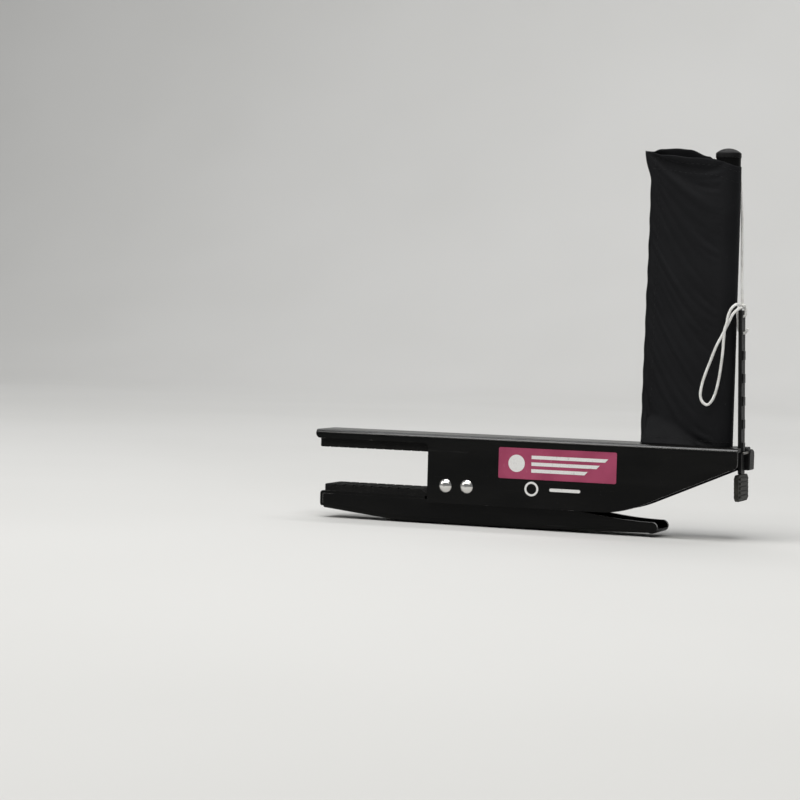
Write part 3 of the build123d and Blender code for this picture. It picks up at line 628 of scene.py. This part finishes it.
def foot_flare(x, z):
    """The front's lower corner kicks outward below a curve that falls towards the post."""
    along = min(1.0, max(0.0, (x - EDGE_AT_FOOT) / FLARE_REACH))
    below = SLEEVE_FOOT + FLARE_HEIGHT * (1 - along**FLARE_FALL) - z
    # Rounded at the curve: 0 above it, twice the distance below it
    kick = below + math.sqrt(below * below + FLARE_SOFTNESS)
    return FLARE_SLOPE * 0.5 * kick * ease((CONTACT_X - x) / 8.0)


def mouth_gape(x, z, gape):
    """How far one side of the mouth stands out at (x, z)."""
    depth, start_z, growth, end_x, fade = gape
    across = ease((x - GAPE_START_X) / GAPE_GROWTH) * ease((end_x - x) / fade)
    return depth * ease((z - start_z) / growth) * across


def sleeve_point(u, v):
    """A point on the sleeve: u runs round it from the sewn edge by the front, v up it."""
    edge = sleeve_edge(SLEEVE_FOOT + v * (MOUTH_HEIGHT - SLEEVE_FOOT))
    flat = sleeve_section(u, edge * MM)
    ahead = sleeve_section(min(1.0, u + SECTION_STEP), edge * MM)
    behind = sleeve_section(max(0.0, u - SECTION_STEP), edge * MM)
    along = (ahead - behind).normalized()
    outward = Vector((along.y, -along.x))
    x = flat.x / MM
    if u < 0.5:
        z = SLEEVE_FOOT + v * (through(FRONT_HEM, x) - SLEEVE_FOOT)
        relief = fabric_relief(x, z, FRONT_CREASES, FRONT_SEED) + foot_flare(x, z)
        relief += mouth_gape(x, z, FRONT_GAPE)
    else:
        z = SLEEVE_FOOT + v * (through(BACK_HEM, x) - SLEEVE_FOOT)
        relief = fabric_relief(x, z, BACK_CREASES, BACK_SEED) + mouth_gape(x, z, BACK_GAPE)
    # The two sides meet at the sewn edge
    apart = ease((x - edge) / SEAM_WIDTH)
    place = flat + outward * (relief * MM * apart)
    return Vector((place.x, place.y, z * MM))


def grid_index(row, k):
    """Index of a vertex of the sleeve's sheet; k counts round it from the sewn edge."""
    return row * SLEEVE_AROUND + k % SLEEVE_AROUND


def settle(sleeve):
    """Cloth simulation: the fabric, a little too large, settles on the post with its sewn edge held."""
    scene = bpy.context.scene
    start = [vertex.co.copy() for vertex in sleeve.data.vertices]
    sleeve.data.transform(Matrix.Scale(SIM_SCALE, 4))
    mesh = bpy.data.meshes.new("drape_form")
    form = bpy.data.objects.new("drape_form", mesh)
    scene.collection.objects.link(form)
    shape = bmesh.new()
    radius = ROD_RADIUS * SIM_SCALE
    bmesh.ops.create_cone(
        shape,
        cap_ends=True,
        segments=64,
        radius1=radius,
        radius2=radius,
        depth=ROD_HEIGHT * SIM_SCALE,
        matrix=Matrix.Translation((POST_X * SIM_SCALE, 0, ROD_MIDDLE_Z * SIM_SCALE)),
    )
    shape.to_mesh(mesh)
    shape.free()
    form.modifiers.new("Collision", "COLLISION")
    form.collision.thickness_outer = 0.003
    form.collision.cloth_friction = 20
    held = sleeve.vertex_groups.new(name="held")
    seam = [grid_index(row, k) for row in range(SLEEVE_UP + 1) for k in (0, 1, -1)]
    held.add(seam, 1.0, "REPLACE")
    cloth = sleeve.modifiers.new("Cloth", "CLOTH")
    fabric = cloth.settings
    fabric.quality = 7
    fabric.mass = 0.12
    fabric.tension_stiffness = 30
    fabric.compression_stiffness = 20
    fabric.shear_stiffness = 12
    fabric.bending_stiffness = 0.6
    fabric.shrink_min = CLOTH_SLACK
    fabric.vertex_group_mass = "held"
    fabric.effector_weights.gravity = 0.6
    cloth.collision_settings.distance_min = 0.002
    cloth.point_cache.frame_start = 1
    cloth.point_cache.frame_end = CLOTH_FRAMES
    for frame_number in range(1, CLOTH_FRAMES + 1):
        scene.frame_set(frame_number)
    apply_modifiers(sleeve)
    sleeve.vertex_groups.clear()
    scene.frame_set(1)
    bpy.data.objects.remove(form)
    for vertex, from_place in zip(sleeve.data.vertices, start):
        move = vertex.co / SIM_SCALE - from_place
        if move.length > CLOTH_REACH:
            move *= CLOTH_REACH / move.length
        vertex.co = from_place + move


def make_sleeve():
    """The fabric pocket, as one sheet with a thickness. Returns the sheet's points, row by row."""
    vertices, faces = [], []
    for row in range(SLEEVE_UP + 1):
        vertices += [sleeve_point(k / SLEEVE_AROUND, row / SLEEVE_UP) for k in range(SLEEVE_AROUND)]
    for row in range(SLEEVE_UP):
        for k in range(SLEEVE_AROUND):
            a, b = grid_index(row, k), grid_index(row, k + 1)
            faces.append((a, b, b + SLEEVE_AROUND, a + SLEEVE_AROUND))
    sleeve = add_mesh("net_sleeve_fabric", vertices, faces, "black_fabric")
    settle(sleeve)
    sheet = [vertex.co.copy() for vertex in sleeve.data.vertices]
    rows = [sheet[grid_index(row, 0) : grid_index(row + 1, 0)] for row in range(SLEEVE_UP + 1)]
    thick = sleeve.modifiers.new("Thickness", "SOLIDIFY")
    thick.thickness = FABRIC_THICKNESS
    thick.offset = 0.0
    apply_modifiers(sleeve)
    sleeve.data.polygons.foreach_set("use_smooth", [True] * len(sleeve.data.polygons))
    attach(sleeve, "arm")
    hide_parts("net_sleeve")
    return rows


def surface_normal(rows, row, k):
    """Outward normal of the fabric's grid at (row, k)."""
    count = len(rows[0])
    along = rows[row][(k + 1) % count] - rows[row][k - 1]
    up = rows[min(row + 1, len(rows) - 1)][k] - rows[max(row - 1, 0)][k]
    return along.cross(up).normalized()


def stitch_row(line, normals, vertices, faces):
    """Adds a row of running stitches along a line on the fabric."""
    even = evenly(line, SEAM_STEP)
    step = 0
    while step + STITCH_STEPS < len(even):
        part = even[step : step + STITCH_STEPS]
        share = step / len(even)
        normal = normals[int(share * (len(normals) - 1))]
        lift = [point + normal * (FABRIC_THICKNESS / 2 + STITCH_LIFT) for point in part]
        lift[0] = part[0]
        lift[-1] = part[-1]
        tube(lift, THREAD_RADIUS, 6, vertices, faces, 0.6)
        step += STITCH_STEPS + STITCH_GAP_STEPS


def make_stitching(rows):
    """Running stitches inside the hems and beside the sewn edge, and an overlocked edge."""
    vertices, faces = [], []
    count = len(rows[0])
    for row in HEM_ROWS:
        line = [rows[row][k % count] for k in range(count + 1)]
        normals = [surface_normal(rows, row, k % count) for k in range(count)]
        stitch_row(line, normals, vertices, faces)
    for k in (SEAM_COLUMN, count - SEAM_COLUMN):
        line = [rows[row][k] for row in range(2, SLEEVE_UP - 1)]
        normals = [surface_normal(rows, row, k) for row in range(2, SLEEVE_UP - 1)]
        stitch_row(line, normals, vertices, faces)
    # Overlock thread, wound round the sewn edge
    edge = evenly([rows[row][0] for row in range(SLEEVE_UP + 1)], OVERLOCK_PITCH / OVERLOCK_STEPS)
    wound = []
    for i, point in enumerate(edge):
        turn = 2 * math.pi * i / OVERLOCK_STEPS
        inward = LOOP_INWARD - LOOP_ROUND * abs(math.cos(turn))
        across, along = LOOP_ACROSS * math.sin(turn), LOOP_ALONG * math.sin(2 * turn)
        wound.append(point + Vector((inward, across, along)))
    tube(wound, THREAD_RADIUS * 1.1, 6, vertices, faces)
    stitching = add_mesh("net_sleeve_stitching", vertices, faces, "thread")
    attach(stitching, "arm")


# ------------------------------------------------------------------ cord

CORD_RADIUS = 0.75 * MM
STRAND_RADIUS = 0.27 * MM
BRAID_PITCH = 4.2 * MM
BRAID_STEPS = 16
# The strands' middle line dips below the cord's surface, and waves as they pass over and under
STRAND_DIP, STRAND_WAVE = 0.09 * MM, 0.1 * MM


def braid(points, vertices, faces):
    """Adds a braided cord along the smooth curve through the points, which are in millimetres."""
    curve = evenly(catmull([point * MM for point in points], 12), BRAID_PITCH / BRAID_STEPS)
    sides = frames_along(curve)
    middle = CORD_RADIUS - STRAND_RADIUS - STRAND_DIP
    for hand in (1, -1):
        for strand in range(4):
            line = []
            for i, (point, (side, up)) in enumerate(zip(curve, sides)):
                turn = 2 * math.pi * i / BRAID_STEPS
                angle = hand * turn + strand * math.pi / 2
                radius = middle + hand * STRAND_WAVE * math.cos(4 * turn)
                line.append(point + radius * (math.cos(angle) * side + math.sin(angle) * up))
            tube(line, STRAND_RADIUS, 5, vertices, faces, 0.5)


# The cord's points are in millimetres from the strap's upper end. The strap leans, so its box's
# inner face is at its top.
STRAP_HALF_THICKNESS = 0.85 * MM
strap_low, strap_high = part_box("tension_strap")
STRAP_END = Vector((strap_low.x + STRAP_HALF_THICKNESS, 0.0, strap_high.z)) / MM

# The cord leaves the sleeve, goes round the post at a small gap and drops to the knot
CORD_GAP = 0.35
CORD_EXIT = ((-27.0, 0.6, 62.6), (-22.0, 1.6, 67.1), (-17.4, 3.4, 71.6))
# Round the post: angle from X towards Y in degrees, height
CORD_WRAP = (
    (140, 74.3),
    (115, 74.9),
    (92, 74.7),
    (76, 73.6),
    (62, 70.4),
    (51, 60.4),
    (39, 50.4),
    (28, 40.4),
)
CORD_DROP = ((-0.55, 0.6, 14.0), (0.1, -0.2, 4.0), (0.2, -0.4, 2.2))

# The knot is a trefoil: its middle, sizes along X, Y and Z, and how far its lobes reach
KNOT_MIDDLE = Vector((0.1, -0.3, 1.9))
KNOT_SIZE = (0.62, 0.8, 0.72)
KNOT_LOBE = 1.35
KNOT_STEPS = 18

# Loop through the strap's upper hole, over its end
CORD_EYE = (
    (-0.9, 0.5, 1.6),
    (-1.7, 0.6, -0.6),
    (-1.3, 0.3, -2.5),
    (0.1, 0.0, -3.2),
    (1.6, 0.3, -2.4),
    (1.8, 0.5, -0.4),
    (0.9, 0.4, 1.6),
)
# The cord's end, laced down the strap's inner side and out through the lower hole
CORD_LACE = (
    (-0.8, -1.3, 1.2),
    (-1.7, -1.5, -1.8),
    (-1.5, -1.0, -5.5),
    (-1.2, -0.3, -9.4),
    (0.4, 0.0, -11.0),
    (2.0, -0.5, -10.8),
    (3.0, -1.0, -9.8),
    (3.6, -1.3, -8.7),
)
# The bow: from the knot down the outer leg, round the drop and up the inner leg
BOW_OUTER_LEG = (
    (-0.4, -1.4, 2.4),
    (-1.6, -5.0, 2.8),
    (-3.2, -8.2, 0.6),
    (-4.4, -8.9, -2.8),
    (-4.9, -9.3, -6.4),
    (-5.7, -9.9, -9.4),
    (-6.1, -9.5, -14.0),
    (-6.6, -9.2, -22.0),
    (-8.0, -9.1, -33.5),
)
BOW_DROP = (
    (-10.0, -9.0, -41.5),
    (-12.4, -9.0, -45.5),
    (-14.6, -8.9, -45.8),
    (-16.6, -8.9, -43.4),
    (-16.9, -8.9, -39.4),
)
BOW_INNER_LEG = (
    (-15.4, -8.8, -32.8),
    (-12.6, -8.8, -25.0),
    (-9.8, -8.8, -17.6),
    (-7.0, -8.7, -12.0),
    (-5.3, -8.3, -8.2),
    (-3.7, -8.5, -5.0),
    (-2.4, -8.6, -2.2),
    (-1.2, -6.4, -0.2),
    (-0.4, -3.8, 0.9),
    (0.0, -1.4, 1.4),
)


def by_strap(offsets):
    """Points at the given offsets from the strap's upper end."""
    return [STRAP_END + Vector(offset) for offset in offsets]


def follow_strap(obj):
    """Bakes the object's placement into its mesh."""
    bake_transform(obj)


def trefoil():
    """The knot's points."""
    wide, deep, tall = KNOT_SIZE
    points = []
    for i in range(KNOT_STEPS + 1):
        t = 2 * math.pi * i / KNOT_STEPS
        across = wide * (math.cos(t) + KNOT_LOBE * math.cos(2 * t))
        above = tall * (math.sin(t) - KNOT_LOBE * math.sin(2 * t))
        points.append(KNOT_MIDDLE + Vector((across, deep * math.sin(3 * t), above)))
    return points


def make_cord():
    """The cord: out of the sleeve's mouth, round the back of the post and down to its knot."""
    vertices, faces = [], []
    reach = (POST_RADIUS + SLEEVE_GAP + FABRIC_THICKNESS + CORD_RADIUS) / MM + CORD_GAP
    wrap = []
    for angle, height in CORD_WRAP:
        turn = math.radians(angle)
        across = POST_X / MM + reach * math.cos(turn)
        wrap.append(Vector((across, reach * math.sin(turn), STRAP_END.z + height)))
    braid(by_strap(CORD_EXIT) + wrap + by_strap(CORD_DROP), vertices, faces)
    for run in (trefoil(), CORD_EYE, CORD_LACE):
        braid(by_strap(run), vertices, faces)
    cord = add_mesh("net_cord", vertices, faces, "white_cord")
    follow_strap(cord)
    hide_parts("tension_cord")


def make_bow():
    """The bow that hangs from the knot, in front of the sleeve: two legs that cross, then open."""
    vertices, faces = [], []
    braid(by_strap(BOW_OUTER_LEG + BOW_DROP + BOW_INNER_LEG), vertices, faces)
    made = add_mesh("net_cord_bow", vertices, faces, "white_cord")
    follow_strap(made)


# ------------------------------------------------------------------ spring


def make_spring():
    """The torsion spring, as a copy of the CAD node's mesh: its upper leg lies under the arm's web, its
    lower leg on the lever.
    """
    node = frame["nodes"]["torsion_spring"]
    spring = bpy.data.objects.new("clamp_spring", node.data.copy())
    bpy.context.scene.collection.objects.link(spring)
    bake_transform(spring)
    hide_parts("torsion_spring")


# ------------------------------------------------------------------ print on the label

INK_THICKNESS = 0.05 * MM
BALL_SHARE = 0.56
BALL_FROM_END = 9.5 * MM
BALL_STEPS = 48
# Stripes: level from the middle one, and how far along the label they reach
STRIPES = ((1, 0.93), (0, 0.86), (-1, 0.76))
STRIPE_SHARE, STRIPE_PITCH_SHARE = 0.2, 0.39
STRIPE_FROM_BALL = 3.5 * MM
STRIPE_SLANT = 1.6 * MM


def add_prism(outline, y, thickness, vertices, faces):
    """Adds a plate with an (x, z) outline, whose front face is at y - thickness."""
    start, count = len(vertices), len(outline)
    vertices.extend(Vector((x, y, z)) for x, z in outline)
    vertices.extend(Vector((x, y - thickness, z)) for x, z in outline)
    faces.append(tuple(start + i for i in reversed(range(count))))
    faces.append(tuple(start + count + i for i in range(count)))
    for i in range(count):
        j = (i + 1) % count
        faces.append((start + i, start + j, start + count + j, start + count + i))


def make_label_print():
    """A plain ball and three stripes in white ink on the crimson label."""
    low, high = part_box("arm_label")
    middle_z = (low.z + high.z) / 2
    height = (high.z - low.z) * BALL_SHARE
    vertices, faces = [], []
    ball_radius = height / 2
    ball_x = low.x + BALL_FROM_END
    ball = []
    for i in range(BALL_STEPS):
        t = -2 * math.pi * i / BALL_STEPS
        ball.append((ball_x + ball_radius * math.cos(t), middle_z + ball_radius * math.sin(t)))
    add_prism(ball, low.y, INK_THICKNESS, vertices, faces)
    half = height * STRIPE_SHARE / 2
    left = ball_x + ball_radius + STRIPE_FROM_BALL
    for level, share in STRIPES:
        z = middle_z + level * height * STRIPE_PITCH_SHARE
        right = low.x + (high.x - low.x) * share
        top, foot = z + half, z - half
        outline = [(left, top), (right, top), (right - STRIPE_SLANT, foot), (left, foot)]
        add_prism(outline, low.y, INK_THICKNESS, vertices, faces)
    made = add_mesh("arm_label_print", vertices, faces, "mark_print", smooth=False)
    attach(made, "arm")


# ------------------------------------------------------------------ stage, light and camera

FLOOR_GAP = 0.4 * MM
FLOOR_FRONT, FLOOR_BACK, FLOOR_HALF_WIDTH = -2.2, 1.6, 4.0
BACKDROP_BEND, BACKDROP_TOP = 0.9, 3.2
BEND_STEPS = 16


def make_stage():
    """A pale floor that curves up into a pale backdrop."""
    floor_z = cad_low.z - FLOOR_GAP
    profile = [(FLOOR_FRONT, floor_z), (FLOOR_BACK, floor_z)]
    for i in range(1, BEND_STEPS + 1):
        t = math.pi / 2 * i / BEND_STEPS
        back = FLOOR_BACK + BACKDROP_BEND * math.sin(t)
        profile.append((back, floor_z + BACKDROP_BEND * (1 - math.cos(t))))
    profile.append((FLOOR_BACK + BACKDROP_BEND, BACKDROP_TOP))
    vertices, faces = [], []
    for y, z in profile:
        vertices += [(-FLOOR_HALF_WIDTH, y, z), (FLOOR_HALF_WIDTH, y, z)]
    for i in range(len(profile) - 1):
        faces.append((2 * i, 2 * i + 1, 2 * i + 3, 2 * i + 2))
    stage = add_mesh("backdrop", vertices, faces, "backdrop")


def add_light(name, place, target, size, power, tint):
    """A soft rectangular light at place that faces target."""
    data = bpy.data.lights.new(name, "AREA")
    data.shape = "RECTANGLE"
    data.size, data.size_y = size
    data.energy = power
    data.color = tint
    light = bpy.data.objects.new(name, data)
    bpy.context.scene.collection.objects.link(light)
    light.location = place
    light.rotation_euler = (Vector(target) - Vector(place)).to_track_quat("-Z", "Y").to_euler()


LIT_PLACE = (0.06, 0.0, 0.05)
# Name, place, target, size, power, tint
LIGHTS = (
    ("overhead", (0.05, -0.45, 1.6), LIT_PLACE, (1.6, 0.8), 21.0, (1.0, 1.0, 1.0)),
    ("bend_strip", (0.05, -1.05, 1.35), LIT_PLACE, (1.8, 0.12), 9.0, (1.0, 0.98, 0.93)),
    ("side_fill", (-1.3, -0.7, 0.9), LIT_PLACE, (0.9, 0.9), 5.0, (1.0, 0.99, 0.97)),
    ("back_wash", (0.0, 1.3, 2.3), (0.0, 2.4, 0.6), (3.0, 1.0), 42.0, (1.0, 1.0, 1.0)),
)
SKY_TINT = (0.86, 0.88, 0.9, 1.0)
SKY_STRENGTH = 0.2


def make_lights():
    """Soft light on the object, dim at the front so that black reads black, and a wash behind."""
    for settings in LIGHTS:
        add_light(*settings)
    world = bpy.data.worlds.new("studio")
    bpy.context.scene.world = world
    world.use_nodes = True
    background = world.node_tree.nodes["Background"]
    background.inputs["Color"].default_value = SKY_TINT
    background.inputs["Strength"].default_value = SKY_STRENGTH


CAMERA_PLACE = (0.456448, -1.174027, 0.073914)
CAMERA_YAW, CAMERA_PITCH, CAMERA_ROLL = 0.3872, 0.0385, 0.0264
CAMERA_LENS, CAMERA_SENSOR = 111.56, 36.0


def make_camera():
    """A long lens at the arm's height, looking in along the table's end."""
    yaw, pitch = CAMERA_YAW, CAMERA_PITCH
    level = Vector((math.cos(yaw), math.sin(yaw), 0))
    inward = Vector((-math.sin(yaw), math.cos(yaw), 0))
    ahead = math.cos(pitch) * inward - math.sin(pitch) * Vector((0, 0, 1))
    above = level.cross(ahead)
    right = math.cos(CAMERA_ROLL) * level + math.sin(CAMERA_ROLL) * above
    up = math.cos(CAMERA_ROLL) * above - math.sin(CAMERA_ROLL) * level
    data = bpy.data.cameras.new("camera")
    data.lens = CAMERA_LENS
    data.sensor_width = CAMERA_SENSOR
    data.clip_start, data.clip_end = 0.05, 20.0
    camera = bpy.data.objects.new("camera", data)
    bpy.context.scene.collection.objects.link(camera)
    turned = Matrix((right, up, -ahead)).transposed().to_4x4()
    camera.matrix_world = Matrix.Translation(CAMERA_PLACE) @ turned
    bpy.context.scene.camera = camera


# ------------------------------------------------------------------ build

dress_frame()
make_stitching(make_sleeve())
make_cord()
make_bow()
make_spring()
make_label_print()
make_stage()
make_lights()
make_camera()
bpy.context.scene.view_settings.view_transform = "Standard"
